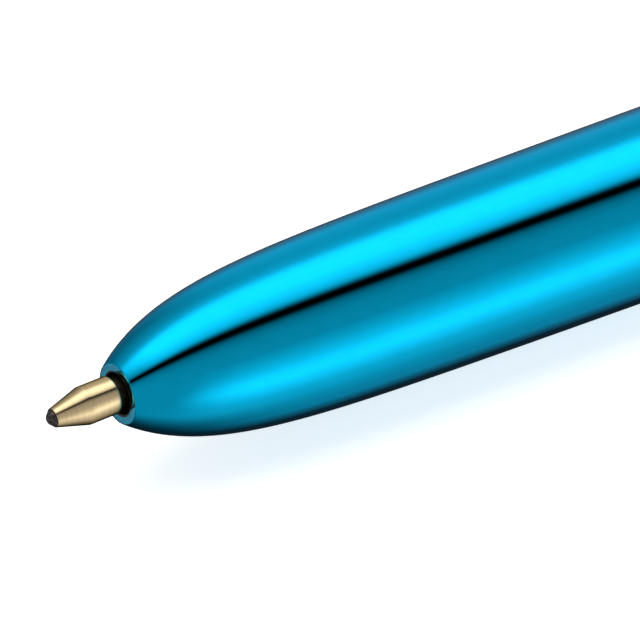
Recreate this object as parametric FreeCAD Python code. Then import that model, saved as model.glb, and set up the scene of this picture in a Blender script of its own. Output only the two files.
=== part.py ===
"""Four-colour click pen, lying on its side with the black point out.

The pen is modelled along X: the nose points to -X and the end cap to +X. Stations along the
pen are measured in millimetres from the flat annular face of the nose, and the whole pen is
moved into its own frame only when a piece is written: the origin is the middle of the pen's
length, on the surface that the barrel lies on, with +Z up and the pocket clip on top.

Inside, four refills stand on the pegs of four sliders. Each slider runs in a slot of the upper
barrel, against a spring that sits on the threaded coupler. Pushing a slider forward brings its
point to the middle of the nose and out of it.
"""

import FreeCAD
import Part

import math
import os

from FreeCAD import Vector

# ---- driving dimensions, in millimetres and degrees ----
# Both barrels
BARREL_R = 6.25
EDGE = 0.12  # broken edges
FIT = 0.02  # play between pieces that are pressed or glued together
SLIDE = 0.06  # play between the sliders and the upper barrel

# Lower barrel
WALL = 0.85  # measured across the axis
NOSE_TAPER = 0.0173  # growth of the radius along the grip, per mm
NOSE_DEPTH = 3.44  # how far the nose falls in from the taper at its front face
NOSE_LENGTH = 4.82  # decay length of that fall
GRIP_END = 58.0  # the taper runs out here
GRIP_EASE = 12.0  # length over which it runs out
HOLE_R = 1.44  # nose opening at the face
THROAT_R = 1.28  # narrowest part of the opening, behind its round lip
THROAT_LENGTH = 1.2  # from the face to the rear of the throat
CAVITY_START = 2.3  # the cone behind the throat reaches the full bore here
RING_SEAT = 73.0  # the centre ring's skirt turns in a step of the rear end
RING_SEAT_R = 5.62
LOWER_END = 74.0

# Centre ring, between the barrels
RING_END = 77.0
RING_BORE_R = 5.36
RING_SKIRT_R = 5.58

# Thread between the coupler (male) and the lower barrel (female)
THREAD_PITCH = 1.6
THREAD_START = 67.4
THREAD_TURNS = 3.75
MALE_ROOT_R = 4.75
MALE_CREST_R = 5.2
FEMALE_CREST_R = 4.9
FEMALE_ROOT_R = 5.35
CREST_HALF_WIDTH = 0.2
FLANK_SLOPE = 0.7  # axial widening of the thread per mm of depth
FLANK_PLAY = 0.13

# Coupler
COUPLER_BORE_R = 4.3
COUPLER_STEP = 73.8  # the threaded tube widens here to fit the upper barrel
COUPLER_END = 86.0
CUP_R = 4.95  # inside of the cup that holds the springs' front ends
SEAT = 82.0  # face that the springs sit on
PLATE = 4.0  # thickness of the plate in front of that face
GUIDE_R = 2.74  # distance of the guide holes from the axis
GUIDE_HOLE_R = 1.6

# Upper barrel and the guide in its rear end
UPPER_END = 133.0
UPPER_BORE_R = 5.3
SLOT_FRONT = 111.0
GUIDE_DISC = 131.0
GUIDE_BORE_R = 2.2
VANE_FRONT = 112.0
VANE_THICKNESS = 0.8

# End cap and lanyard eye
DOME_START = 135.6
DOME_END = 138.2  # where the dome's ellipse would reach the axis
BOSS_R = 2.15
BOSS_FRONT = 131.2
PEN_END = 142.08  # rear end of the lanyard eye
EYE_R = 2.66
EYE_WIDTH = 3.2
EYE_HOLE_R = 1.25
EYE_HOLE_SHIFT = 0.15  # the hole stands this far behind the eye's centre
EYE_CHAMFER = 0.35

# Clip
CLIP_WIDTH = 4.2
CLIP_TIP_WIDTH = 3.4
CLIP_LEG_WIDTH = 3.2
CLIP_GAUGE = 0.8
CLIP_LEG = 136.05  # rear face of the leg that stands in the cap
CLIP_LEG_FOOT = 4.0  # height over the axis of the leg's lower end
CLIP_BEND_R = 1.4
CLIP_HEIGHT = 8.75  # middle of the strip over the axis, at the bend
CLIP_FOOT = 101.5  # where the clip grips
CLIP_GAP = 0.06  # between foot and barrel, at rest
CLIP_TAPER = 130.0  # the strip narrows from here to its tip

# Motion
COLOURS = {"black": 45.0, "red": 135.0, "green": 225.0, "blue": 315.0}  # angle round +X from +Y
OUT_COLOUR = "black"  # the colour that is latched forward at rest
TRAVEL = 9.0  # slider stroke
PEG_PIVOT = 102.0  # where a retracted refill turns on its slider's peg
SLIDER_R = 3.0  # pegs' distance from the pen's axis
POINT_OUT_OFFSET = 0.10  # an extended point's axis off the pen's axis, at the nose face
POINT_IN_OFFSET = 2.50  # a retracted ball's centre off the pen's axis
BALL_OUT = -4.42  # an extended ball's centre

# Refill, in stations behind its ball's centre
BALL_R = 0.5
BALL_PLAY = 0.01
LIP = 0.11  # the socket's lip reaches this far in front of the ball's centre
LIP_R = 0.585
SHOULDER = 2.05  # end of the cone
POINT_R = 1.19
SHANK_END = 4.1
SHANK_ROUND = 0.22  # its rear edge is rounded by about this much
NECK_R = 0.95
TUBE_START = 6.0
TUBE_R = 1.25
TUBE_BORE_R = 0.85
SPIGOT_END = 9.0
INK_END = 82.0
INK_FEED_R = 0.22
INK_BORE_R = 0.55

# Spring
SPRING_R = 1.68  # middle of the wire
WIRE_R = 0.14
WIRE_SIDES = 8
SPRING_TURNS = 9

# Slider
PEG_LENGTH = 3.0
PEG_TIP_R = 0.72
PEG_ROOT_R = 0.82
FLANGE_R = 1.95
FLANGE_LENGTH = 1.2
STEM_R = 1.5
RUNNER_START = 111.5
RUNNER_END = 130.8
RUNNER_WIDTH = 3.5
RUNNER_LOW = 2.65  # height over the axis of the runner's flat underside
TAB_FRONT = 120.9
TAB_REAR = 132.8
TAB_HALF = 1.15  # half the tab's width, and the radius of its crown
TAB_TOP = 8.2  # height over the pen's axis
TAB_NOSE_R = 1.1
TAB_SLOPE = 3.4  # length of the slope down to the tab's rear end
TAB_GROOVES = 4
GROOVE_PITCH = 1.2
GROOVE_R = 0.3

X_AXIS = Vector(1, 0, 0)
Y_AXIS = Vector(0, 1, 0)
Z_AXIS = Vector(0, 0, 1)
ORIGIN = Vector(0, 0, 0)
TO_FRAME = Vector(-(BALL_OUT - BALL_R + PEN_END) / 2, 0, BARREL_R)


# ---- helpers ----
def write(name, shape):
    """One STEP file per piece, in the pen's own frame."""
    shape = shape.copy()
    shape.translate(TO_FRAME)
    shape.exportStep(f"parts/{name}.step")
    print(f"{name:20s} {len(shape.Solids)} solid(s) {shape.Volume:9.2f} mm3 valid {shape.isValid()}")


def at(station, height):
    """A point of an outline: distance along the pen and distance from the axis."""
    return Vector(station, 0, height)


def chain(points):
    """Straight edges through the points."""
    return [Part.LineSegment(a, b).toShape() for a, b in zip(points, points[1:])]


def smooth(points):
    """One smooth edge through the points."""
    curve = Part.BSplineCurve()
    curve.interpolate(points)
    return curve.toShape()


def turned(edges):
    """The solid that a closed outline sweeps round the pen's axis."""
    face = Part.Face(Part.Wire(edges))
    return face.revolve(ORIGIN, X_AXIS, 360)


def lathe(*points):
    """The solid turned from a polygon of (station, radius) pairs."""
    corners = [at(*p) for p in points]
    return turned(chain(corners + corners[:1]))


def cylinder(start, end, radius, height=0.0):
    """A rod along the pen, its axis at that height."""
    return Part.makeCylinder(radius, end - start, at(start, height), X_AXIS)


def block(start, end, width, low, high):
    """A bar along the pen, centred on the vertical plane."""
    return Part.makeBox(end - start, width, high - low, Vector(start, -width / 2, low))


def round_pen(shape, angle):
    """A shape drawn on top of the pen (90 degrees), turned round the axis to that angle."""
    shape = shape.copy()
    shape.rotate(ORIGIN, X_AXIS, angle - 90)
    return shape


# ---- barrels, ring and coupler ----
def outer_radius(s):
    """Outside of the lower barrel: a long taper that ends level, less the fall of the nose."""
    left = max(GRIP_END - s, 0.0)
    eased = min(left, GRIP_EASE)
    drop = NOSE_TAPER * (eased**2 / (2 * GRIP_EASE) + left - eased)
    return BARREL_R - drop - NOSE_DEPTH * math.exp(-s / NOSE_LENGTH)


def nose_curve(start, inset):
    """The nose's outline from a station to the end of the grip, moved in by a wall's thickness.
    The stations stand closer where the nose curves more."""
    steps = 16
    stations = [start + (GRIP_END - start) * (i / steps) ** 2 for i in range(steps + 1)]
    return [at(s, outer_radius(s) - inset) for s in stations]


def thread(crest_r, base_r, half_width, start, turns):
    """A helical ridge of trapezoid section, running back along the pen from a station."""
    base_half = half_width + abs(crest_r - base_r) * FLANK_SLOPE
    helix = Part.makeHelix(THREAD_PITCH, THREAD_PITCH * turns, crest_r)
    corners = [
        Vector(base_r, 0, -base_half),
        Vector(crest_r, 0, -half_width),
        Vector(crest_r, 0, half_width),
        Vector(base_r, 0, base_half),
    ]
    section = Part.makePolygon(corners + corners[:1])
    ridge = Part.Wire(helix).makePipeShell([section], True, True)
    ridge.rotate(ORIGIN, Y_AXIS, 90)
    ridge.translate(X_AXIS * start)
    return ridge


def lower_barrel():
    """Nose, grip and female thread in one moulding."""
    outside = nose_curve(0.0, 0.0)
    rim = [at(LOWER_END - EDGE, BARREL_R), at(LOWER_END, BARREL_R - EDGE), at(LOWER_END, 0)]
    body = turned([smooth(outside)] + chain([outside[-1]] + rim + [at(0, 0), outside[0]]))

    lip = HOLE_R - THROAT_R
    thread_zone = THREAD_START - THREAD_PITCH
    run_in = 0.7  # cone that leads into the thread
    inside = nose_curve(CAVITY_START, WALL)
    rear = [at(thread_zone - run_in, BARREL_R - WALL), at(thread_zone, FEMALE_CREST_R)]
    rear += [at(RING_SEAT, FEMALE_CREST_R), at(RING_SEAT, RING_SEAT_R), at(LOWER_END, RING_SEAT_R)]
    throat = [at(0, HOLE_R), at(lip / 3, HOLE_R - lip * 0.7), at(lip, THROAT_R)]
    throat += [at(THROAT_LENGTH, THROAT_R), inside[0]]
    bore = chain([inside[-1]] + rear + [at(LOWER_END, 0), at(0, 0)] + throat)
    body = body.cut(turned([smooth(inside)] + bore))

    sunk = 0.15  # the groove's tool starts this far inside the bore
    half_width = CREST_HALF_WIDTH + FLANK_PLAY - (FEMALE_ROOT_R - MALE_CREST_R) * FLANK_SLOPE
    groove = thread(
        FEMALE_ROOT_R, FEMALE_CREST_R - sunk, half_width, THREAD_START - THREAD_PITCH, THREAD_TURNS + 1.25
    )
    return body.cut(groove)


def centre_ring():
    """Bright band between the barrels; its skirt turns in the lower barrel's rear end."""
    skirt = RING_SEAT + 0.1
    front, rear = LOWER_END + FIT, RING_END - FIT
    return lathe(
        (skirt, RING_BORE_R),
        (skirt, RING_SKIRT_R),
        (front, RING_SKIRT_R),
        (front, BARREL_R - EDGE),
        (front + EDGE, BARREL_R),
        (rear - EDGE, BARREL_R),
        (rear, BARREL_R - EDGE),
        (rear, RING_BORE_R),
    )


def thread_coupler():
    """Tube with the male thread, glued into the upper barrel, with a plate that guides the
    refills and seats the springs."""
    front = THREAD_START - 0.6
    chamfer = 0.25
    plate = SEAT - PLATE
    glued_r = UPPER_BORE_R - FIT
    body = lathe(
        (front, COUPLER_BORE_R),
        (front, MALE_ROOT_R - chamfer),
        (front + chamfer, MALE_ROOT_R),
        (COUPLER_STEP, MALE_ROOT_R),
        (COUPLER_STEP + 0.6, glued_r),
        (COUPLER_END, glued_r),
        (COUPLER_END, CUP_R),
        (SEAT, CUP_R),
        (SEAT, 0),
        (plate, 0),
        (plate, COUPLER_BORE_R),
    )
    sunk = 0.15  # the ridge's root starts this far inside the tube
    body = body.fuse(thread(MALE_CREST_R, MALE_ROOT_R - sunk, CREST_HALF_WIDTH, THREAD_START, THREAD_TURNS))
    hole = cylinder(plate - 1, SEAT + 1, GUIDE_HOLE_R, height=GUIDE_R)
    for angle in COLOURS.values():
        body = body.cut(round_pen(hole, angle))
    return body.removeSplitter()


def upper_barrel():
    """Tube with a slot for each slider, open at the rear so that the sliders go in."""
    body = lathe(
        (RING_END, UPPER_BORE_R),
        (RING_END, BARREL_R - EDGE),
        (RING_END + EDGE, BARREL_R),
        (UPPER_END - EDGE, BARREL_R),
        (UPPER_END, BARREL_R - EDGE),
        (UPPER_END, UPPER_BORE_R),
    )
    half = TAB_HALF + 0.1
    low, high = UPPER_BORE_R - 1, BARREL_R + 1
    slot = block(SLOT_FRONT + half, UPPER_END + 1, 2 * half, low, high)
    slot = slot.fuse(Part.makeCylinder(half, high - low, at(SLOT_FRONT + half, low), Z_AXIS))
    for angle in COLOURS.values():
        body = body.cut(round_pen(slot, angle))
    return body


def slider_guide():
    """Disc in the rear of the upper barrel, with four vanes that part the sliders."""
    disc_r, rear = UPPER_BORE_R - FIT, UPPER_END - FIT
    body = lathe((GUIDE_DISC, GUIDE_BORE_R), (GUIDE_DISC, disc_r), (rear, disc_r), (rear, GUIDE_BORE_R))
    vane = block(VANE_FRONT, GUIDE_DISC + 0.5, VANE_THICKNESS, GUIDE_BORE_R + 0.1, disc_r - 0.18)
    for angle in (0, 90, 180, 270):
        body = body.fuse(round_pen(vane, angle))
    return body.removeSplitter()


# ---- end cap and clip ----
def end_cap():
    """Domed cap with a snap boss, a pocket for the clip and an eye for a lanyard."""
    front = UPPER_END + FIT
    ellipse = Part.Ellipse(at(DOME_START, BARREL_R), at(DOME_END, 0), at(DOME_START, 0))
    dome = Part.ArcOfEllipse(ellipse, 0, math.pi / 2).toShape()
    body = turned(
        [dome]
        + chain(
            [at(DOME_END, 0), at(front, 0), at(front, BARREL_R - EDGE)]
            + [at(front + EDGE, BARREL_R), at(DOME_START, BARREL_R)]
        )
    )
    body = body.fuse(cylinder(BOSS_FRONT, front + 0.5, BOSS_R))

    eye = at(PEN_END - EYE_R, 0)
    half = EYE_WIDTH / 2
    plate = Part.makeCylinder(EYE_R, EYE_WIDTH, eye - Y_AXIS * half, Y_AXIS)
    plate = plate.fuse(block(DOME_START + 0.4, eye.x, EYE_WIDTH, -EYE_R, EYE_R))
    rims = [e for e in plate.Edges if abs(abs(e.CenterOfMass.y) - half) < 0.01]
    body = body.fuse(plate.makeChamfer(EYE_CHAMFER, rims))
    hole = Part.makeCylinder(EYE_HOLE_R, 8, eye + X_AXIS * EYE_HOLE_SHIFT - Y_AXIS * 4, Y_AXIS)
    body = body.cut(hole)

    front_play, rear_play, side_play, under_play = 0.45, 0.1, 0.15, 0.4
    pocket = block(
        CLIP_LEG - CLIP_GAUGE - front_play,
        CLIP_LEG + rear_play,
        CLIP_LEG_WIDTH + 2 * side_play,
        CLIP_LEG_FOOT - under_play,
        BARREL_R + 1,
    )
    return body.cut(pocket).removeSplitter()


def clip():
    """Sprung steel clip: a leg in the cap, an arm over the barrel, and a foot close above it."""
    half = CLIP_GAUGE / 2
    corner = at(CLIP_LEG - half - CLIP_BEND_R, CLIP_HEIGHT - CLIP_BEND_R)
    on_barrel = BARREL_R + half + CLIP_GAP
    arm = Part.BSplineCurve()
    arm.interpolate(
        Points=[
            at(corner.x, CLIP_HEIGHT),
            at(126, CLIP_HEIGHT - 0.15),
            at(112, CLIP_HEIGHT - 0.8),
            at(CLIP_FOOT + 3, on_barrel + 0.44),
            at(CLIP_FOOT, on_barrel),
            at(CLIP_FOOT - 2, on_barrel + 0.39),
            at(CLIP_FOOT - 4, on_barrel + 1.64),
        ]
    )

    def side(offset):
        """The arm's spine moved up (positive) or down, from the cap to the tip."""
        count = 18
        first, last = arm.FirstParameter, arm.LastParameter
        moved = [at(corner.x, CLIP_HEIGHT + offset)]
        for i in range(1, count + 1):
            u = first + (last - first) * i / count
            along = arm.tangent(u)[0]
            moved.append(arm.value(u) + Vector(along.z, 0, -along.x) * offset)
        return moved

    def bend(radius):
        """The corner's arc at that radius: from the leg round to the arm."""
        middle = radius * math.sqrt(0.5)
        ends = corner + X_AXIS * radius, corner + Z_AXIS * radius
        return Part.Arc(ends[0], corner + Vector(middle, 0, middle), ends[1]).toShape()

    upper, lower = side(half), side(-half)
    tip = (upper[-1] + lower[-1]) / 2 + (upper[-1] - lower[-1]).cross(Y_AXIS) * 0.5
    outline = [
        bend(CLIP_BEND_R + half),
        smooth(upper),
        Part.Arc(upper[-1], tip, lower[-1]).toShape(),
        smooth(lower),
        bend(CLIP_BEND_R - half),
    ]
    outline += chain(
        [corner + X_AXIS * (CLIP_BEND_R - half), at(CLIP_LEG - CLIP_GAUGE, CLIP_LEG_FOOT)]
        + [at(CLIP_LEG, CLIP_LEG_FOOT), corner + X_AXIS * (CLIP_BEND_R + half)]
    )
    face = Part.Face(Part.Wire(Part.__sortEdges__(outline)))
    strip = face.extrude(Y_AXIS * CLIP_WIDTH)
    strip.translate(Y_AXIS * (-CLIP_WIDTH / 2))
    return strip.common(clip_plan())


def clip_plan():
    """The clip seen from above: it narrows to a round tip, and its leg is narrower than its arm."""
    wide, narrow, leg = CLIP_WIDTH / 2, CLIP_TIP_WIDTH / 2, CLIP_LEG_WIDTH / 2
    tip, back = CLIP_FOOT - 5.2, CLIP_LEG + 1
    left, right = Vector(tip + narrow, narrow, 0), Vector(tip + narrow, -narrow, 0)
    outline = [Part.Arc(left, Vector(tip, 0, 0), right).toShape()]
    outline += chain(
        [right, Vector(CLIP_TAPER, -wide, 0), Vector(back, -wide, 0)]
        + [Vector(back, wide, 0), Vector(CLIP_TAPER, wide, 0), left]
    )
    plan = Part.Face(Part.Wire(outline)).extrude(Z_AXIS * (2 * CLIP_HEIGHT))
    leg_top = CLIP_HEIGHT - CLIP_BEND_R - 0.3
    for y in (leg, -leg - CLIP_WIDTH):
        plan = plan.cut(Part.makeBox(back - CLIP_TAPER + 1, CLIP_WIDTH, leg_top, Vector(CLIP_TAPER, y, 0)))
    return plan


# ---- sliders, refills and springs, drawn on top of the pen ----
def slider(shift):
    """Peg, spring flange and stem, a runner inside the barrel and a thumb tab through the slot."""
    peg_end = PEG_PIVOT - PEG_LENGTH
    flange_end = PEG_PIVOT + FLANGE_LENGTH
    stem_end = RUNNER_START + 1
    stem = lathe(
        (peg_end, 0),
        (peg_end, PEG_TIP_R - 0.15),
        (peg_end + 0.25, PEG_TIP_R),
        (PEG_PIVOT, PEG_ROOT_R),
        (PEG_PIVOT, FLANGE_R),
        (flange_end, FLANGE_R),
        (flange_end + 0.6, STEM_R),
        (stem_end, STEM_R),
        (stem_end, 0),
    )
    stem.translate(Z_AXIS * SLIDER_R)

    runner = block(RUNNER_START, RUNNER_END, RUNNER_WIDTH, RUNNER_LOW, UPPER_BORE_R)
    runner = runner.common(cylinder(RUNNER_START, RUNNER_END, UPPER_BORE_R - SLIDE))
    web = block(TAB_FRONT, RUNNER_END, 2 * TAB_HALF, RUNNER_LOW + 1, TAB_TOP - TAB_HALF)
    web = web.common(cylinder(TAB_FRONT, RUNNER_END, UPPER_BORE_R + 0.5))
    body = stem.fuse([runner, web, thumb_tab()]).removeSplitter()
    body.translate(X_AXIS * -shift)
    return body


def thumb_tab():
    """The tab outside the barrel: a round-crowned bar, cut to its side view, with thumb grooves."""
    low, width, crown_low = UPPER_BORE_R + SLIDE, 2 * TAB_HALF, TAB_TOP - TAB_HALF
    crown = cylinder(TAB_FRONT, TAB_REAR, TAB_HALF, height=crown_low)
    crown = crown.common(block(TAB_FRONT, TAB_REAR, width, low, TAB_TOP))
    tab = block(TAB_FRONT, TAB_REAR, width, low, crown_low).fuse(crown).common(tab_side())
    for i in range(TAB_GROOVES):
        station = TAB_FRONT + 3.2 + i * GROOVE_PITCH
        centre = Vector(station, -width, TAB_TOP + 0.4 * GROOVE_R)
        tab = tab.cut(Part.makeCylinder(GROOVE_R, 2 * width, centre, Y_AXIS))
    return tab


def tab_side():
    """Side view of a thumb tab: steep rounded front and a long slope down to the rear."""
    width = 2 * TAB_HALF
    front = [at(TAB_FRONT, TAB_TOP - TAB_NOSE_R), at(TAB_FRONT + 0.3, TAB_TOP - 0.3)]
    front += [at(TAB_FRONT + TAB_NOSE_R, TAB_TOP)]
    rear = [at(TAB_REAR - TAB_SLOPE, TAB_TOP), at(TAB_REAR - 0.3, TAB_TOP - 1.5), at(TAB_REAR, TAB_TOP - 1.8)]
    below = [at(TAB_REAR, UPPER_BORE_R), at(TAB_FRONT, UPPER_BORE_R), front[0]]
    outline = Part.Wire([Part.Arc(*front).toShape()] + chain([front[2]] + rear + below))
    side = Part.Face(outline).extrude(Y_AXIS * (2 * width))
    side.translate(Y_AXIS * -width)
    return side


def refill_line(shift):
    """A refill's ball centre, the direction from it to the rear, and its length to the peg's
    pivot, for a slider's shift."""
    pivot = at(PEG_PIVOT - shift, SLIDER_R)
    out_pivot = at(PEG_PIVOT - TRAVEL, SLIDER_R)
    rise = (SLIDER_R - POINT_OUT_OFFSET) / out_pivot.x
    ball = at(BALL_OUT, POINT_OUT_OFFSET + rise * BALL_OUT)
    length = (out_pivot - ball).Length
    if shift == 0:
        drop = SLIDER_R - POINT_IN_OFFSET
        ball = at(PEG_PIVOT - math.sqrt(length**2 - drop**2), POINT_IN_OFFSET)
    return ball, (pivot - ball).normalize(), length


def on_refill(shape, shift):
    """A shape drawn along X with the ball's centre at 0, laid on the refill's line."""
    ball, along, _ = refill_line(shift)
    shape = shape.copy()
    shape.rotate(ORIGIN, Y_AXIS, -math.degrees(math.asin(along.z)))
    shape.translate(ball)
    return shape


def refill_point():
    """Turned brass point: socket and cone, a straight shank, and a neck and spigot in the tube."""
    ease = 0.1
    neck_end = TUBE_START - 0.1
    body = lathe(
        (-LIP, 0),
        (-LIP, LIP_R - 0.03),
        (-LIP + 0.03, LIP_R),
        (SHOULDER, POINT_R - ease / 4),
        (SHOULDER + ease, POINT_R),
        (SHANK_END - SHANK_ROUND, POINT_R),
        (SHANK_END - SHANK_ROUND / 4, POINT_R - SHANK_ROUND / 4),
        (SHANK_END, POINT_R - SHANK_ROUND),
        (SHANK_END, NECK_R),
        (neck_end, NECK_R),
        (neck_end, TUBE_BORE_R),
        (SPIGOT_END, TUBE_BORE_R - 0.05),
        (SPIGOT_END, 0),
    )
    body = body.cut(Part.makeSphere(BALL_R + BALL_PLAY))
    bore = lathe(
        (0, 0),
        (0, INK_FEED_R),
        (SHOULDER + 0.15, INK_FEED_R),
        (SHOULDER + 0.95, INK_BORE_R),
        (SPIGOT_END + 1, INK_BORE_R),
        (SPIGOT_END + 1, 0),
    )
    return body.cut(bore)


def refill_tube(length):
    """Clear tube from the point's neck to the slider's peg."""
    return cylinder(TUBE_START, length - 0.1, TUBE_R).cut(cylinder(TUBE_START - 1, length, TUBE_BORE_R))


def ink_column():
    """Ink standing in the tube behind the point, with a hollow rear surface."""
    front, radius, meniscus = SPIGOT_END + FIT, TUBE_BORE_R - 0.01, 0.5
    return lathe((front, 0), (front, radius), (INK_END, radius), (INK_END - meniscus, 0))


def return_spring(shift):
    """Coil spring between the coupler's plate and the slider's flange."""
    end_play = WIRE_R + 0.01
    seat = at(SEAT + end_play, GUIDE_R)
    top = at(PEG_PIVOT - shift - end_play, SLIDER_R)
    length = (top - seat).Length
    helix = Part.makeHelix(length / SPRING_TURNS, length, SPRING_R)
    angles = [2 * math.pi * (i + 0.5) / WIRE_SIDES for i in range(WIRE_SIDES)]
    corners = [at(SPRING_R + WIRE_R * math.cos(a), WIRE_R * math.sin(a)) for a in angles]
    coil = Part.Wire(helix).makePipeShell([Part.makePolygon(corners + corners[:1])], True, True)
    coil.rotate(ORIGIN, Y_AXIS, 90 - math.degrees(math.atan2(top.z - seat.z, top.x - seat.x)))
    coil.translate(seat)
    return coil


def main():
    os.makedirs("parts", exist_ok=True)
    write("lower_barrel", lower_barrel())
    write("centre_ring", centre_ring())
    write("thread_coupler", thread_coupler())
    write("upper_barrel", upper_barrel())
    write("slider_guide", slider_guide())
    write("end_cap", end_cap())
    write("clip", clip())
    for colour, angle in COLOURS.items():
        shift = TRAVEL if colour == OUT_COLOUR else 0.0
        length = refill_line(shift)[2]
        write(f"{colour}_slider", round_pen(slider(shift), angle))
        write(f"{colour}_spring", round_pen(return_spring(shift), angle))
        refill = {
            "point": refill_point(),
            "ball": Part.makeSphere(BALL_R),
            "tube": refill_tube(length),
            "ink": ink_column(),
        }
        for piece, shape in refill.items():
            write(f"{colour}_{piece}", round_pen(on_refill(shape, shift), angle))


main()
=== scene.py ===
import math

import bmesh
import bpy
from mathutils import Matrix, Vector
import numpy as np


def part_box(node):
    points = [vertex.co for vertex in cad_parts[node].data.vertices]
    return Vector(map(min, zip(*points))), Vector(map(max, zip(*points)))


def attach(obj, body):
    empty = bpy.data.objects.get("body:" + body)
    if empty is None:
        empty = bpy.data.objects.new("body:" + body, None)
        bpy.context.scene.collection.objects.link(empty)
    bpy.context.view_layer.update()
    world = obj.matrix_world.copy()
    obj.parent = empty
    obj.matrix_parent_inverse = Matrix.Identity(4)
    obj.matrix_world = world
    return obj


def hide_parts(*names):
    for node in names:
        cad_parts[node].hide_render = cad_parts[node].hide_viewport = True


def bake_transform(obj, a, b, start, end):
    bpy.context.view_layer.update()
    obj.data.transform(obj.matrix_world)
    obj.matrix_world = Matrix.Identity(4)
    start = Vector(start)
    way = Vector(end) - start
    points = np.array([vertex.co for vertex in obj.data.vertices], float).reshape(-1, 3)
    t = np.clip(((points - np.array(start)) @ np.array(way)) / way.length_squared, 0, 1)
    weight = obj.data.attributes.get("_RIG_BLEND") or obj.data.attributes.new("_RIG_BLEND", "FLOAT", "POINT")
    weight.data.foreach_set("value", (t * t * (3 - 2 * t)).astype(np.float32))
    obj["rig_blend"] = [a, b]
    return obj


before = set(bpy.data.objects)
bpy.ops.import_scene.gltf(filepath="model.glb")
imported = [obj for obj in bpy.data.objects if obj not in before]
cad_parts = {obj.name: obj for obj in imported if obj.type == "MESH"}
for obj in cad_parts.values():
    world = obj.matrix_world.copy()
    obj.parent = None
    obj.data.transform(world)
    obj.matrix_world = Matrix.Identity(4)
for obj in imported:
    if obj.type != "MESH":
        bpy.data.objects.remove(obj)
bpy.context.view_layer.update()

# A four-colour click pen lies on a white table with its black point out, seen from in front of
# its nose. Sizes are in millimetres. Stations run back along the pen from the nose's flat face,
# and a refill's own stations run back from its ball's centre.

MM = 0.001
SCENE = bpy.context.scene
X_AXIS = Vector((1, 0, 0))


def middle(node):
    """Centre of a CAD node's box, in metres."""
    low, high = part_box(node)
    return (Vector(low) + Vector(high)) / 2


# ---- dimensions ----
# Lower barrel
NOSE_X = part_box("lower_barrel")[0][0] / MM
AXIS_Z = middle("lower_barrel").z / MM
REAR_END = (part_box("lower_barrel")[1][0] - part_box("lower_barrel")[0][0]) / MM
BARREL_R = AXIS_Z
BARREL_SIDES = 256
GRIP_END = 58.0  # the taper runs out here
GRIP_EASE = 12.0  # length over which it runs out
NOSE_TAPER = 0.0173  # growth of the radius along the grip, per mm
NOSE_DEPTH = 3.44  # how far the nose falls in from the taper at its front face
NOSE_LENGTH = 4.82  # decay length of that fall
WALL = 0.85
HOLE_R = 1.44  # nose opening at the face
THROAT_R = 1.28  # narrowest part of the opening, behind its round lip
THROAT_END = 1.2
BORE_R = 5.4
BORE_STATIONS = (50, 40, 30, 22, 16, 12, 9, 7, 5.5, 4.4, 3.4, 2.3)
THREAD_START = 65.8
THREAD_R = 4.95
THREAD_RUNOUT = 0.7
SEAT_R = 5.62  # the centre ring's skirt turns in this step of the rear end
SEAT_DEPTH = 1.0
RIM_ROUND = 0.05
REAR_ROUND = 0.1

# Centre ring
RING_BORE_R = 5.36
SKIRT_R = 5.58
RING_GAP = 0.02
RING_ROUND = 0.12

# Point and ball of a refill
POINT_SIDES = 128
BALL_SIDES = 48
BALL_R = 0.5
BALL_PLAY = 0.001
SOCKET_LIP = 0.11  # the socket's lip reaches this far in front of the ball's centre
LIP_R = 0.585
LIP_BORE_R = 0.505
LIP_ROUND = 0.03
SOCKET_WALL = (0.1, 0.49)  # station and radius inside the socket, round the ball
SOCKET_FLOOR = (0.36, 0.35)  # and behind the ball
SHOULDER = 2.05  # end of the cone
SHOULDER_ROUND = 0.06
SHANK_R = 1.19
SHANK_END = 4.1
SHANK_ROUND = 0.22
NECK_R = 0.95
NECK_END = 5.9
SPIGOT_R = 0.85
SPIGOT_TIP_R = 0.8
SPIGOT_END = 9.0
INK_FEED_R = 0.2

# Spring
WIRE_R = 0.14
WIRE_SIDES = 12
COIL_R = 1.68  # middle of the wire
TURNS = 9
STEPS_PER_TURN = 28
GUIDE_R = 2.74  # distance of the spring's front end from the pen's axis
SLIDER_R = 3.0  # and of its rear end

# Soft edges of moulded and sheared pieces
SLIDER_EDGE = 0.15
CLIP_EDGE = 0.1

# Table, lamp and camera
TABLE_HALF = 3000
LAMP_SIZE = 900
LAMP_HEIGHT = 800
LAMP_WATTS = 0.3
AZIMUTH = math.radians(-36.7)
ELEVATION = math.radians(29.0)
DISTANCE = 200.0
AIM_RIGHT = 11.924  # the camera looks this far beside and above the middle of the nose's face
AIM_UP = 4.359
LENS = 191.25
NEAREST = 10  # the camera sees nothing nearer than this

# Noise seldom leaves this range, which is spread over the whole of what it varies
NOISE_LOW = 0.3
NOISE_HIGH = 0.7

# Brightness of the room by angle round the pen, in degrees: 0 is level behind it, 90 overhead,
# 180 level in front. A wide light hangs overhead, and a dark gap parts it from the grey front.
LONG_LIGHTS = (
    (0, 0.20), (14, 0.23), (25, 0.30), (35, 0.38), (45, 0.47), (55, 0.70), (60, 1.00), (67, 1.50),
    (76, 1.64), (88, 1.56), (98, 1.25), (105, 0.95), (109, 0.66), (112, 0.28), (115, 0.03), (117, 0),
    (122, 0), (124, 0.04), (127, 0.17), (132, 0.30), (140, 0.39), (155, 0.45), (238, 0.46), (246, 0.38),
    (255, 0.26), (265, 0.15), (275, 0.08), (285, 0.04), (300, 0.02), (330, 0.03), (345, 0.13), (360, 0.20),
)
LIGHT_PEAK = 2.0  # no stop may be brighter
# The share of that light that hangs overhead, and how much of it is left beyond the nose.
OVERHEAD = ((0, 0), (35, 0), (60, 1), (110, 1), (118, 0), (360, 0))
OVERHEAD_LEFT = 0.45
OVERHEAD_EDGE = (-0.25, -0.7)
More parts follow.
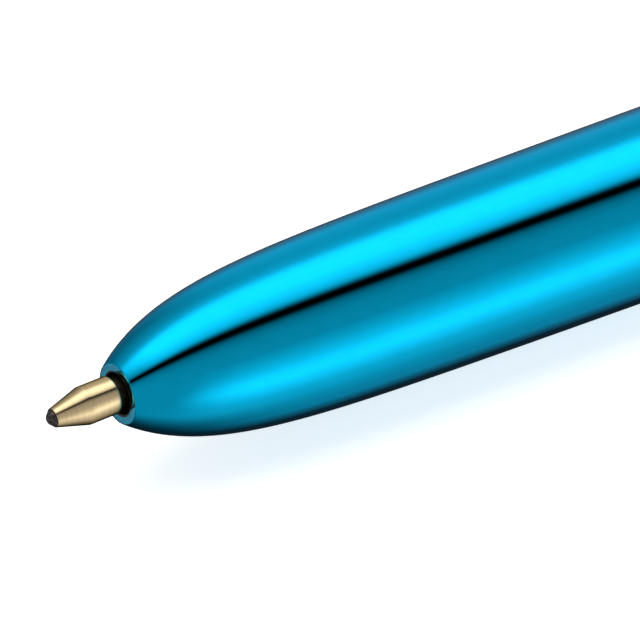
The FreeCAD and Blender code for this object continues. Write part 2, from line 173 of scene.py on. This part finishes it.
# Lights in only part of the room. Each comes in between two X components of the direction.
# Towards the rear, a low one in front and the far ends of the others:
SIDE_LIGHT = (
    (160, 0), (173, 0.22), (186, 0.55), (195, 0.90), (204, 0.98), (214, 0.66), (225, 0.32), (245, 0.06),
    (258, 0),
)
SIDE_EDGE = (-0.35, 0.2)
FAR_LIGHTS = (
    (0, 0.14), (14, 0.40), (25, 0.33), (38, 0.16), (52, 0.04), (60, 0), (240, 0), (255, 0.16), (265, 0.25),
    (275, 0.12), (288, 0), (345, 0.02), (360, 0.14),
)
FAR_EDGE = (0.1, 0.5)
# Towards the nose, one from below, for the nose's flat face:
UNDER_LIGHT = ((0, 0.1), (10, 0), (285, 0), (310, 0.42), (340, 0.40), (360, 0.1))
UNDER_EDGE = (-0.36, -0.5)
# The room's ends, in line with the pen, and what the camera sees past the table.
POLE_LIGHT = 0.5
POLE_EDGE = (0.72, 0.97)
BACKDROP = 1.0


# ---- meshes ----
def new_mesh(name, points, faces, matrix=Matrix.Identity(4), sharp=35):
    """A smooth-shaded object from points in millimetres, moved by the matrix."""
    mesh = bpy.data.meshes.new(name)
    mesh.from_pydata([(matrix @ Vector(p)) * MM for p in points], [], faces)
    mesh.validate()
    mesh.shade_smooth()
    mesh.set_sharp_from_angle(angle=math.radians(sharp))
    piece = bpy.data.objects.new(name, mesh)
    SCENE.collection.objects.link(piece)
    return piece


def lathe(name, outline, matrix, sides, sharp=35):
    """A closed outline of (station, radius) points, turned round X. Points on the axis close it."""
    points, faces, rings = [], [], []
    for x, r in outline:
        if r < 1e-6:
            rings.append([len(points)])
            points.append((x, 0, 0))
            continue
        rings.append(list(range(len(points), len(points) + sides)))
        for i in range(sides):
            a = 2 * math.pi * i / sides
            points.append((x, r * math.cos(a), r * math.sin(a)))
    pairs = list(zip(rings, rings[1:]))
    if len(rings[0]) > 1:
        pairs.append((rings[-1], rings[0]))
    for a, b in pairs:
        for i in range(sides):
            j = (i + 1) % sides
            corners = [a[i % len(a)], b[i % len(b)], b[j % len(b)], a[j % len(a)]]
            face = list(dict.fromkeys(corners))
            if len(face) > 2:
                faces.append(face)
    return new_mesh(name, points, faces, matrix, sharp)


def rounded(corner, start, end, radius, steps=6):
    """Points of a small round where the outline turns from start through corner to end."""
    corner, start, end = Vector(corner), Vector(start), Vector(end)
    first = corner + (start - corner).normalized() * radius
    last = corner + (end - corner).normalized() * radius
    points = []
    for i in range(steps + 1):
        t = i / steps
        points.append(tuple(first * (1 - t) ** 2 + corner * 2 * t * (1 - t) + last * t**2))
    return points


def eased(name, node, width, sharpest=30):
    """A copy of a CAD piece, its outer edges sharper than that many degrees rounded over."""
    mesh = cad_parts[node].data.copy()
    for layer in [a for a in mesh.attributes if a.name == "custom_normal"]:
        mesh.attributes.remove(layer)
    work = bmesh.new()
    work.from_mesh(mesh)
    bmesh.ops.remove_doubles(work, verts=work.verts, dist=1e-7)
    bmesh.ops.dissolve_limit(work, angle_limit=math.radians(1), verts=work.verts, edges=work.edges)
    edges = [e for e in work.edges if e.is_convex and e.calc_face_angle() > math.radians(sharpest)]
    shape = {"offset": width * MM, "offset_type": "OFFSET", "segments": 3, "profile": 0.5}
    bmesh.ops.bevel(work, geom=edges, affect="EDGES", **shape)
    work.to_mesh(mesh)
    work.free()
    mesh.shade_smooth()
    mesh.set_sharp_from_angle(angle=math.radians(35))
    mesh.name = name
    piece = bpy.data.objects.new(name, mesh)
    SCENE.collection.objects.link(piece)
    return piece


def paint(piece, made):
    """Gives a piece one material."""
    piece.data.materials.clear()
    piece.data.materials.append(made)


def paint_bands(piece, sides, materials, index_of_band):
    """Materials by band of a turned piece: a band is the ring of faces after that outline point."""
    piece.data.materials.clear()
    for made in materials:
        piece.data.materials.append(made)
    for face in piece.data.polygons:
        face.material_index = index_of_band.get(face.index // sides, 0)


# ---- shader nodes ----
def material(name, colour, metallic=0.0, roughness=0.4, **more):
    """A principled material; more names other sockets of its shader."""
    made = bpy.data.materials.new(name)
    made.use_nodes = True
    shader = made.node_tree.nodes["Principled BSDF"]
    shader.inputs["Base Color"].default_value = (*colour, 1)
    shader.inputs["Metallic"].default_value = metallic
    shader.inputs["Roughness"].default_value = roughness
    for socket, value in more.items():
        shader.inputs[socket.replace("_", " ")].default_value = value
    return made


def add_node(owner, kind, inputs=(), **settings):
    """A node of a material or world, its inputs linked from other sockets or set to numbers."""
    node = owner.node_tree.nodes.new(kind)
    for key, value in settings.items():
        setattr(node, key, value)
    for socket, source in inputs:
        if isinstance(source, bpy.types.NodeSocket):
            owner.node_tree.links.new(source, node.inputs[socket])
        else:
            node.inputs[socket].default_value = source
    return node


def drive(made, socket, source):
    """Links a node's output to a socket of the material's shader."""
    made.node_tree.links.new(source, made.node_tree.nodes["Principled BSDF"].inputs[socket])


def noise(made, scale, stretch, detail):
    """Noise in the object's own millimetres, stretched."""
    place = add_node(made, "ShaderNodeTexCoord").outputs["Object"]
    mapping = add_node(made, "ShaderNodeMapping", [("Vector", place), ("Scale", Vector(stretch) / MM)])
    inputs = [("Vector", mapping.outputs["Vector"]), ("Scale", scale), ("Detail", detail)]
    return add_node(made, "ShaderNodeTexNoise", inputs).outputs["Fac"]


def vary(made, scale, low, high, stretch=(1, 1, 1)):
    """Variation of the base colour between two colours."""
    ramp = add_node(made, "ShaderNodeValToRGB", [("Fac", noise(made, scale, stretch, 3.0))])
    first, last = ramp.color_ramp.elements
    first.position, last.position = NOISE_LOW, NOISE_HIGH
    first.color = (*low, 1)
    last.color = (*high, 1)
    drive(made, "Base Color", ramp.outputs["Color"])


def roughen(made, scale, low, high, stretch=(1, 1, 1)):
    """Variation of the roughness."""
    inputs = [("Value", noise(made, scale, stretch, 3.0)), ("To Min", low), ("To Max", high)]
    inputs += [("From Min", NOISE_LOW), ("From Max", NOISE_HIGH)]
    drive(made, "Roughness", add_node(made, "ShaderNodeMapRange", inputs).outputs["Result"])


def bump(made, scale, height, stretch=(1, 1, 1)):
    """Fine relief from noise; its height is in millimetres."""
    relief = noise(made, scale, stretch, 2.0)
    inputs = [("Height", relief), ("Distance", height * MM), ("Strength", 1.0)]
    drive(made, "Normal", add_node(made, "ShaderNodeBump", inputs).outputs["Normal"])


def tint(colour, factor):
    """A colour made darker or brighter."""
    return tuple(min(1.0, c * factor) for c in colour)


# ---- materials ----
def shell_material():
    """Plastic metallised in cyan blue under a clear gloss."""
    cyan = (0.0, 0.50, 0.84)
    gloss = {"Coat_Weight": 0.05, "Coat_Roughness": 0.03, "Specular_Tint": (0.5, 0.75, 0.95, 1)}
    made = material("barrel_shell", cyan, metallic=1.0, roughness=0.05, **gloss)
    vary(made, scale=0.9, low=tint(cyan, 0.975), high=tint(cyan, 1.02))
    roughen(made, scale=2.0, low=0.04, high=0.06)
    bump(made, scale=1.2, height=0.0006)
    return made


def brass_material():
    """Pale gold turned brass; the tool's fine rings blur its reflections along the pen only."""
    gold = (0.85, 0.665, 0.38)
    rings = {"Anisotropic": 0.7, "Anisotropic_Rotation": 0.25, "Specular_Tint": (0.12, 0.08, 0.03, 1)}
    made = material("point_brass", gold, metallic=1.0, roughness=0.2, **rings)
    tangent = add_node(made, "ShaderNodeTangent", direction_type="RADIAL", axis="X")
    drive(made, "Tangent", tangent.outputs["Tangent"])
    vary(made, scale=1.4, low=tint(gold, 0.9), high=tint(gold, 1.04), stretch=(5, 0.15, 0.15))
    bump(made, scale=9.0, height=0.001, stretch=(1, 0.02, 0.02))
    roughen(made, scale=3.0, low=0.16, high=0.24, stretch=(5, 0.1, 0.1))
    return made


def neck_shade_material():
    """The same brass, painted dark brown behind the shank as painted shade for the inside of the nose's
    opening.
    """
    brown = (0.075, 0.052, 0.026)
    made = material("point_neck_painted_shade", brown, metallic=1.0, roughness=0.45)
    vary(made, scale=3.0, low=tint(brown, 0.5), high=tint(brown, 1.6))
    return made


def rim_material():
    """The nose's flat face, where the cyan is thinner."""
    pale = (0.045, 0.475, 0.73)
    made = material("nose_rim", pale, metallic=1.0, roughness=0.1)
    vary(made, scale=2.5, low=tint(pale, 0.9), high=tint(pale, 1.12))
    bump(made, scale=8.0, height=0.0015)
    return made


def lip_material():
    """The opening's edge and wall: near black and not metallic, unlike the rest of the shell."""
    dark = (0.012, 0.013, 0.013)
    made = material("nose_bore", dark, roughness=0.3)
    vary(made, scale=2.0, low=tint(dark, 0.6), high=tint(dark, 1.5))
    return made


def ball_material():
    """Hard metal ball and socket lip under a film of ink."""
    dark = (0.016, 0.014, 0.013)
    film = {"Coat_Weight": 0.35, "Coat_Roughness": 0.12}
    made = material("inked_ball", dark, metallic=0.5, roughness=0.3, **film)
    vary(made, scale=7.0, low=tint(dark, 0.2), high=tint(dark, 4.5))
    bump(made, scale=6.0, height=0.02)
    return made


def chrome_material():
    """Bright plating on the centre ring."""
    made = material("ring_metal", (0.86, 0.87, 0.88), metallic=1.0, roughness=0.08)
    roughen(made, scale=1.5, low=0.05, high=0.11)
    vary(made, scale=0.7, low=(0.82, 0.83, 0.84), high=(0.9, 0.91, 0.92))
    return made


def clip_material():
    """Sprung steel, bright nickel with a faint brushed grain along the strip."""
    made = material("clip_steel", (0.78, 0.79, 0.80), metallic=1.0, roughness=0.18)
    grain = (0.05, 1, 1)
    vary(made, scale=5.0, low=(0.72, 0.73, 0.75), high=(0.83, 0.84, 0.85), stretch=grain)
    roughen(made, scale=6.0, low=0.13, high=0.24, stretch=grain)
    return made


def wire_material():
    """Drawn spring wire."""
    made = material("spring_steel", (0.6, 0.6, 0.61), metallic=1.0, roughness=0.28)
    vary(made, scale=4.0, low=(0.5, 0.5, 0.51), high=(0.66, 0.66, 0.67))
    return made


def inner_material():
    """Plain pale moulded plastic of the hidden parts."""
    pale = (0.74, 0.74, 0.71)
    made = material("inner_plastic", pale, roughness=0.5)
    vary(made, scale=0.8, low=tint(pale, 0.94), high=tint(pale, 1.05))
    bump(made, scale=6.0, height=0.002)
    return made


def slider_material(name, colour):
    """Glossy plastic moulded in the ink's colour."""
    gloss = {"Coat_Weight": 0.25, "Coat_Roughness": 0.12}
    made = material(name + "_plastic", colour, roughness=0.28, **gloss)
    vary(made, scale=0.9, low=tint(colour, 0.88), high=tint(colour, 1.08))
    bump(made, scale=5.0, height=0.0015)
    roughen(made, scale=2.5, low=0.24, high=0.34)
    return made


def ink_material(name, colour):
    """The column of ink inside a tube."""
    made = material(name + "_ink", tint(colour, 0.7), roughness=0.15)
    vary(made, scale=0.5, low=tint(colour, 0.6), high=tint(colour, 0.8))
    return made


def tube_material():
    """Clear plastic tube."""
    made = material("tube_plastic", (0.93, 0.95, 0.94), roughness=0.12, Transmission_Weight=0.75)
    vary(made, scale=0.6, low=(0.88, 0.9, 0.89), high=(0.95, 0.96, 0.95))
    return made


def table_material():
    """Pale table that gives back a little light of its own, like a lit sweep of paper."""
    glow = {"Emission_Color": (1, 1, 1, 1), "Emission_Strength": 0.7}
    made = material("table", (0.93, 0.93, 0.93), roughness=0.6, **glow)
    vary(made, scale=0.02, low=(0.92, 0.92, 0.92), high=(0.94, 0.94, 0.94))
    return made


SHELL = shell_material()
BRASS = brass_material()
SHADED_NECK = neck_shade_material()
LIP = lip_material()
RIM = rim_material()
BALL = ball_material()
CHROME = chrome_material()
CLIP = clip_material()
WIRE = wire_material()
INNER = inner_material()
TUBE = tube_material()
INKS = {
    "black": (0.012, 0.012, 0.014),
    "red": (0.55, 0.006, 0.01),
    "green": (0.004, 0.19, 0.035),
    "blue": (0.006, 0.02, 0.33),
}
TO_NOSE = Matrix.Translation((NOSE_X, 0, AXIS_Z))


# ---- barrel, ring and clip ----
def outer_radius(s):
    """The nose and grip, by the same rule as the CAD part."""
    left = max(GRIP_END - s, 0.0)
    easing = min(left, GRIP_EASE)
    drop = NOSE_TAPER * (easing**2 / (2 * GRIP_EASE) + left - easing)
    return BARREL_R - drop - NOSE_DEPTH * math.exp(-s / NOSE_LENGTH)


def bullet_curve():
    """The outside from the rim to the end of the grip, its points closer towards the nose."""
    start, steps, crowding = 0.08, 150, 1.6
    points = []
    for i in range(1, steps + 1):
        s = start + (GRIP_END - start) * (i / steps) ** crowding
        points.append((s, outer_radius(s)))
    return points


def lower_barrel():
    """The whole shell: round nose rim, bullet curve, straight rear and the bore."""
    end, seat = REAR_END, REAR_END - SEAT_DEPTH
    rim = rounded((0, outer_radius(0)), (0, 1), (1, outer_radius(1)), RIM_ROUND)
    rear = rounded((end, BARREL_R), (end - 1, BARREL_R), (end, BARREL_R - 1), REAR_ROUND)
    step = [(end, SEAT_R), (seat, SEAT_R), (seat, THREAD_R), (THREAD_START, THREAD_R)]
    step += [(THREAD_START - THREAD_RUNOUT, BORE_R), (GRIP_END, BORE_R)]
    inside = [(s, outer_radius(s) - WALL) for s in BORE_STATIONS]
    lip = rounded((0, THROAT_R), (1, THROAT_R), (0, 2), HOLE_R - THROAT_R, 8)
    outline = rim + bullet_curve() + rear + step + inside + [(THROAT_END, THROAT_R)] + lip
    piece = lathe("lower_barrel_shell", outline, TO_NOSE, BARREL_SIDES)
    face = len(outline) - 1
    bands = dict.fromkeys(range(face - len(lip) - 1, face), 1)
    bands[face] = 2
    paint_bands(piece, BARREL_SIDES, (SHELL, LIP, RIM), bands)
    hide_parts("lower_barrel")
    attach(piece, "front_body")


def centre_ring():
    """Plated ring with a skirt that turns in the lower barrel's step."""
    low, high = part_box("centre_ring")
    front = low[0] / MM - NOSE_X
    back = high[0] / MM - NOSE_X
    shoulder = REAR_END + RING_GAP
    outline = [(front, RING_BORE_R), (front, SKIRT_R), (shoulder, SKIRT_R)]
    outline += rounded((shoulder, BARREL_R), (shoulder, 0), (back, BARREL_R), RING_ROUND)
    outline += rounded((back, BARREL_R), (shoulder, BARREL_R), (back, 0), RING_ROUND)
    outline += [(back, RING_BORE_R)]
    piece = lathe("centre_ring_bright", outline, TO_NOSE, BARREL_SIDES)
    paint(piece, CHROME)
    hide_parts("centre_ring")
    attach(piece, "ring_body")


def clip():
    """Sheared and bent spring steel, its edges tumbled smooth."""
    piece = eased("clip_strip", "clip", CLIP_EDGE, sharpest=50)
    paint(piece, CLIP)
    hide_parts("clip")
    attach(piece, "clip_body")


# ---- refills, springs and sliders ----
def refill_frame(colour):
    """Matrix from a refill's own stations to the row frame."""
    ball_centre = middle(f"{colour}_ball")
    along = (middle(f"{colour}_tube") - ball_centre).normalized()
    turn = X_AXIS.rotation_difference(along).to_matrix().to_4x4()
    return Matrix.Translation(ball_centre / MM) @ turn


def point(colour, place):
    """Turned brass point: rolled lip, cone, shank and the neck that goes into the tube."""
    shoulder, shank = (SHOULDER, SHANK_R), (SHANK_END, SHANK_R)
    slope = (SHANK_R - LIP_R) / (SHOULDER + SOCKET_LIP)
    outline = [(-SOCKET_LIP, LIP_BORE_R)]
    outline += rounded((-SOCKET_LIP, LIP_R), (-SOCKET_LIP, 0), shoulder, LIP_ROUND, 4)
    outline += rounded(shoulder, (SHOULDER - 1, SHANK_R - slope), shank, SHOULDER_ROUND, 5)
    outline += rounded(shank, shoulder, (SHANK_END, 0), SHANK_ROUND, 8)
    neck = len(outline)
    outline += [(SHANK_END, NECK_R), (NECK_END, NECK_R), (NECK_END, SPIGOT_R)]
    outline += [(SPIGOT_END, SPIGOT_TIP_R), (SPIGOT_END, INK_FEED_R)]
    outline += [(0.0, INK_FEED_R), SOCKET_FLOOR, SOCKET_WALL]
    piece = lathe(f"{colour}_point_turned", outline, place, POINT_SIDES, sharp=60)
    # The two bands after the neck point get the painted shade of the opening; the first three, at the socket
    # lip, get the inked ball's material.
    bands = {0: 2, 1: 2, 2: 2, neck: 1, neck + 1: 1}
    paint_bands(piece, POINT_SIDES, (BRASS, SHADED_NECK, BALL), bands)
    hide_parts(f"{colour}_point")
    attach(piece, f"{colour}_refill_body")


def ball(colour, place):
    """The writing ball, turned from pole to pole."""
    rings = 24
    radius = BALL_R - BALL_PLAY
    outline = []
    for i in range(rings + 1):
        a = math.pi * i / rings
        outline.append((-radius * math.cos(a), radius * math.sin(a) if 0 < i < rings else 0.0))
    piece = lathe(f"{colour}_writing_ball", outline, place, BALL_SIDES)
    paint(piece, BALL)
    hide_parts(f"{colour}_ball")
    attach(piece, f"{colour}_refill_body")


def coil(start, end, outward):
    """Points and faces of a helix of round wire between two places."""
    across = X_AXIS.cross(outward)
    steps = TURNS * STEPS_PER_TURN
    points, faces = [], []
    for i in range(steps + 1):
        t = i / steps
        a = 2 * math.pi * TURNS * t
        radial = outward * math.cos(a) + across * math.sin(a)
        centre = start.lerp(end, t) + radial * COIL_R
        for k in range(WIRE_SIDES):
            b = 2 * math.pi * k / WIRE_SIDES
            points.append(centre + radial * WIRE_R * math.cos(b) + X_AXIS * WIRE_R * math.sin(b))
    for i in range(steps):
        for k in range(WIRE_SIDES):
            a, b = i * WIRE_SIDES + k, i * WIRE_SIDES + (k + 1) % WIRE_SIDES
            faces.append((a, b, b + WIRE_SIDES, a + WIRE_SIDES))
    faces.append(tuple(range(WIRE_SIDES))[::-1])
    faces.append(tuple(range(steps * WIRE_SIDES, (steps + 1) * WIRE_SIDES)))
    return points, faces


def spring(colour):
    """Coil between the coupler's plate and the slider's flange; it shortens as the slider comes."""
    low, high = (Vector(v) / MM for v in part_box(f"{colour}_spring"))
    side = middle(f"{colour}_spring") / MM
    outward = Vector((0, side.y, side.z - AXIS_Z)).normalized()
    start = Vector((low.x + WIRE_R, 0, AXIS_Z)) + outward * GUIDE_R
    end = Vector((high.x - WIRE_R, 0, AXIS_Z)) + outward * SLIDER_R
    piece = new_mesh(f"{colour}_coil", *coil(start, end, outward))
    paint(piece, WIRE)
    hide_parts(f"{colour}_spring")
    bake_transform(piece, "rear_body", f"{colour}_slider_body", start=start * MM, end=end * MM)


def slider(colour):
    """Moulded slider in the ink's colour, with soft edges."""
    piece = eased(f"{colour}_thumb_slider", f"{colour}_slider", SLIDER_EDGE)
    paint(piece, slider_material(colour, INKS[colour]))
    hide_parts(f"{colour}_slider")
    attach(piece, f"{colour}_slider_body")


# ---- room ----
def table_top():
    """White table top that shows in no reflection."""
    half = TABLE_HALF * MM
    points = [(-half, -half, 0), (half, -half, 0), (half, half, 0), (-half, half, 0)]
    mesh = bpy.data.meshes.new("table_top")
    mesh.from_pydata(points, [], [(0, 1, 2, 3)])
    table = bpy.data.objects.new("table_top", mesh)
    SCENE.collection.objects.link(table)
    paint(table, table_material())
    table.visible_glossy = False


def maths(world, operation, *values):
    """Result of a calculation on sockets or numbers."""
    return add_node(world, "ShaderNodeMath", enumerate(values), operation=operation).outputs["Value"]


def by_angle(world, turn, stops, peak):
    """Brightness from a ramp of (degrees, brightness) stops."""
    ramp = add_node(world, "ShaderNodeValToRGB", [("Fac", turn)])
    band = ramp.color_ramp
    while len(band.elements) < len(stops):
        band.elements.new(0.5)
    for element, (degrees, light) in zip(band.elements, stops):
        element.position = degrees / 360
        element.color = (light / peak, light / peak, light / peak, 1)
    return maths(world, "MULTIPLY", ramp.outputs["Color"], peak)


def fade(world, value, start, end):
    """Smoothly from 0 where the value is at start to 1 where it is at end."""
    inputs = [("Value", value), ("From Min", start), ("From Max", end)]
    spread = add_node(world, "ShaderNodeMapRange", inputs, interpolation_type="SMOOTHSTEP")
    return spread.outputs["Result"]


def studio():
    """A room of long soft lights parallel to the pen, as brightness by direction."""
    world = bpy.data.worlds.new("studio")
    SCENE.world = world
    world.use_nodes = True

    def calc(operation, *values):
        return maths(world, operation, *values)

    direction = add_node(world, "ShaderNodeTexCoord").outputs["Generated"]
    parts = add_node(world, "ShaderNodeSeparateXYZ", [("Vector", direction)]).outputs
    turn = calc("ARCTAN2", parts["Z"], parts["Y"])
    turn = calc("FRACT", calc("DIVIDE", turn, 2 * math.pi))

    share = by_angle(world, turn, OVERHEAD, 1.0)
    past_nose = fade(world, parts["X"], *OVERHEAD_EDGE)
    loss = calc("MULTIPLY", share, calc("MULTIPLY", past_nose, 1 - OVERHEAD_LEFT))
    light = by_angle(world, turn, LONG_LIGHTS, LIGHT_PEAK)
    light = calc("MULTIPLY", light, calc("SUBTRACT", 1.0, loss))
    for stops, edge in ((SIDE_LIGHT, SIDE_EDGE), (FAR_LIGHTS, FAR_EDGE), (UNDER_LIGHT, UNDER_EDGE)):
        extra = by_angle(world, turn, stops, LIGHT_PEAK)
        light = calc("ADD", light, calc("MULTIPLY", extra, fade(world, parts["X"], *edge)))
    pole = fade(world, calc("ABSOLUTE", parts["X"]), *POLE_EDGE)
    light = calc("MULTIPLY", light, calc("SUBTRACT", 1.0, pole))
    light = calc("ADD", light, calc("MULTIPLY", pole, POLE_LIGHT))

    seen = add_node(world, "ShaderNodeLightPath").outputs["Is Camera Ray"]
    unseen = calc("MULTIPLY", light, calc("SUBTRACT", 1.0, seen))
    strength = calc("ADD", calc("MULTIPLY", seen, BACKDROP), unseen)
    background = world.node_tree.nodes["Background"]
    background.inputs["Color"].default_value = (1, 1, 1, 1)
    world.node_tree.links.new(strength, background.inputs["Strength"])


def lamp():
    """A weak soft lamp overhead, which shows in no reflection."""
    light = bpy.data.lights.new("overhead", "AREA")
    light.size = LAMP_SIZE * MM
    light.energy = LAMP_WATTS
    holder = bpy.data.objects.new("overhead", light)
    holder.location = (0, 0, LAMP_HEIGHT * MM)
    holder.visible_glossy = False
    SCENE.collection.objects.link(holder)


def camera():
    """The viewer, in front of the nose and a little to the side of it."""
    view = bpy.data.cameras.new("camera")
    view.lens = LENS
    view.clip_start = NEAREST * MM
    back = Vector((math.sin(AZIMUTH), -math.cos(AZIMUTH), 0)) * math.cos(ELEVATION)
    back.z = math.sin(ELEVATION)
    right = Vector((math.cos(AZIMUTH), math.sin(AZIMUTH), 0))
    up = back.cross(right)
    place = Vector((NOSE_X, 0, AXIS_Z)) + right * AIM_RIGHT + up * AIM_UP + back * DISTANCE
    turned = Matrix((right, up, back)).transposed().to_4x4()
    viewer = bpy.data.objects.new("camera", view)
    viewer.matrix_world = Matrix.Translation(place * MM) @ turned
    SCENE.collection.objects.link(viewer)
    SCENE.camera = viewer
    SCENE.view_settings.view_transform = "Standard"


# ---- the pen on its table ----
for node in ("upper_barrel", "end_cap"):
    paint(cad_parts[node], SHELL)
for node in ("thread_coupler", "slider_guide"):
    paint(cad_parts[node], INNER)
lower_barrel()
centre_ring()
clip()
for colour in INKS:
    place = refill_frame(colour)
    point(colour, place)
    ball(colour, place)
    spring(colour)
    slider(colour)
    paint(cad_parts[f"{colour}_tube"], TUBE)
    paint(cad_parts[f"{colour}_ink"], ink_material(colour, INKS[colour]))
table_top()
studio()
lamp()
camera()
